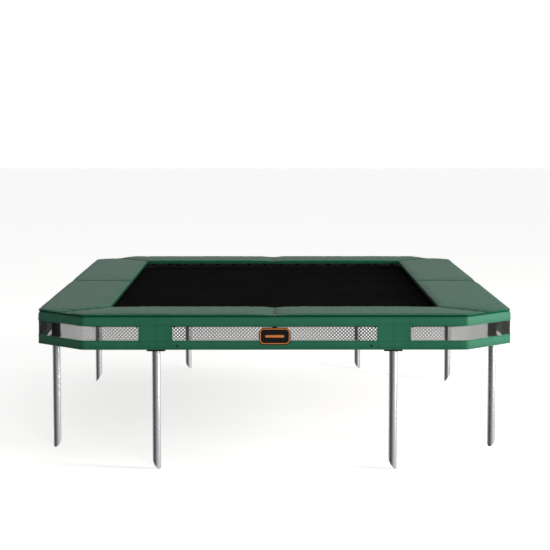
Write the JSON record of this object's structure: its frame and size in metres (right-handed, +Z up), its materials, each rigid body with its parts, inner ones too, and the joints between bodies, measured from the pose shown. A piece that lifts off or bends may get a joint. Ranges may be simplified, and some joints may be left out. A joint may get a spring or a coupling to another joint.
{
  "type": "in-ground trampoline",
  "caption": "Rectangular in-ground trampoline with cut corners, a sprung woven mat, green edge pads, a skirt with net windows and steel posts for the ground.",
  "frame": {"origin": "under the centre of the trampoline, at the height of the posts' lowest points", "axes": "+Z up, +X along the width with the badge side facing -Y, +Y along the length"},
  "size_m": [2.4, 3.4015, 0.779],
  "materials": {
    "green_tarpaulin": "semi-gloss PVC-coated cloth",
    "foam": "closed-cell foam",
    "polyester_net": "coated mesh",
    "woven_mat": "woven polypropylene",
    "webbing": "woven webbing",
    "galvanised_steel": "hot-dip galvanised",
    "black_steel": "black powder coat",
    "zinc_steel": "zinc plated",
    "badge_plastic": "satin"
  },
  "bodies": {
    "frame": {"frame_screws": "zinc_steel", "post_back_left": "galvanised_steel", "post_back_right": "galvanised_steel", "post_front_left": "galvanised_steel", "post_front_right": "galvanised_steel", "post_left_back": "galvanised_steel", "post_left_front": "galvanised_steel", "post_right_back": "galvanised_steel", "post_right_front": "galvanised_steel", "rail_back": "black_steel", "rail_corner_back_left": "black_steel", "rail_corner_back_right": "black_steel", "rail_corner_front_left": "black_steel", "rail_corner_front_right": "black_steel", "rail_front": "black_steel", "rail_left": "black_steel", "rail_right": "black_steel", "socket_back_left": "black_steel", "socket_back_right": "black_steel", "socket_front_left": "black_steel", "socket_front_right": "black_steel", "socket_left_back": "black_steel", "socket_left_front": "black_steel", "socket_right_back": "black_steel", "socket_right_front": "black_steel", "springs_back": "zinc_steel", "springs_front": "zinc_steel", "springs_left": "zinc_steel", "springs_right": "zinc_steel"},
    "mat": {"mat": "woven_mat", "mat_hem": "webbing", "mat_rings": "zinc_steel"},
    "cover": {"badge": "badge_plastic", "cover_tabs": "webbing", "foam_back": "foam", "foam_front": "foam", "foam_left": "foam", "foam_right": "foam", "net_back": "polyester_net", "net_corner_back_left": "polyester_net", "net_corner_back_right": "polyester_net", "net_corner_front_left": "polyester_net", "net_corner_front_right": "polyester_net", "net_front": "polyester_net", "net_left": "polyester_net", "net_right": "polyester_net", "pad_cover_back": "green_tarpaulin", "pad_cover_front": "green_tarpaulin", "pad_cover_left": "green_tarpaulin", "pad_cover_right": "green_tarpaulin", "skirt_back": "green_tarpaulin", "skirt_corner_back_left": "green_tarpaulin", "skirt_corner_back_right": "green_tarpaulin", "skirt_corner_front_left": "green_tarpaulin", "skirt_corner_front_right": "green_tarpaulin", "skirt_front": "green_tarpaulin", "skirt_left": "green_tarpaulin", "skirt_right": "green_tarpaulin"}
  },
  "joints": [
    {"name": "mat_bounce", "type": "slide", "parent": "frame", "child": "mat", "axis": [0, 0, 1], "range_m": [-0.12, 0.02], "stiffness_N_per_m": 8000, "deforming": ["springs_back", "springs_front", "springs_left", "springs_right"]},
    {"name": "cover_lift", "type": "slide", "parent": "frame", "child": "cover", "axis": [0, 0, 1], "range_m": [0, 0.25]}
  ]
}
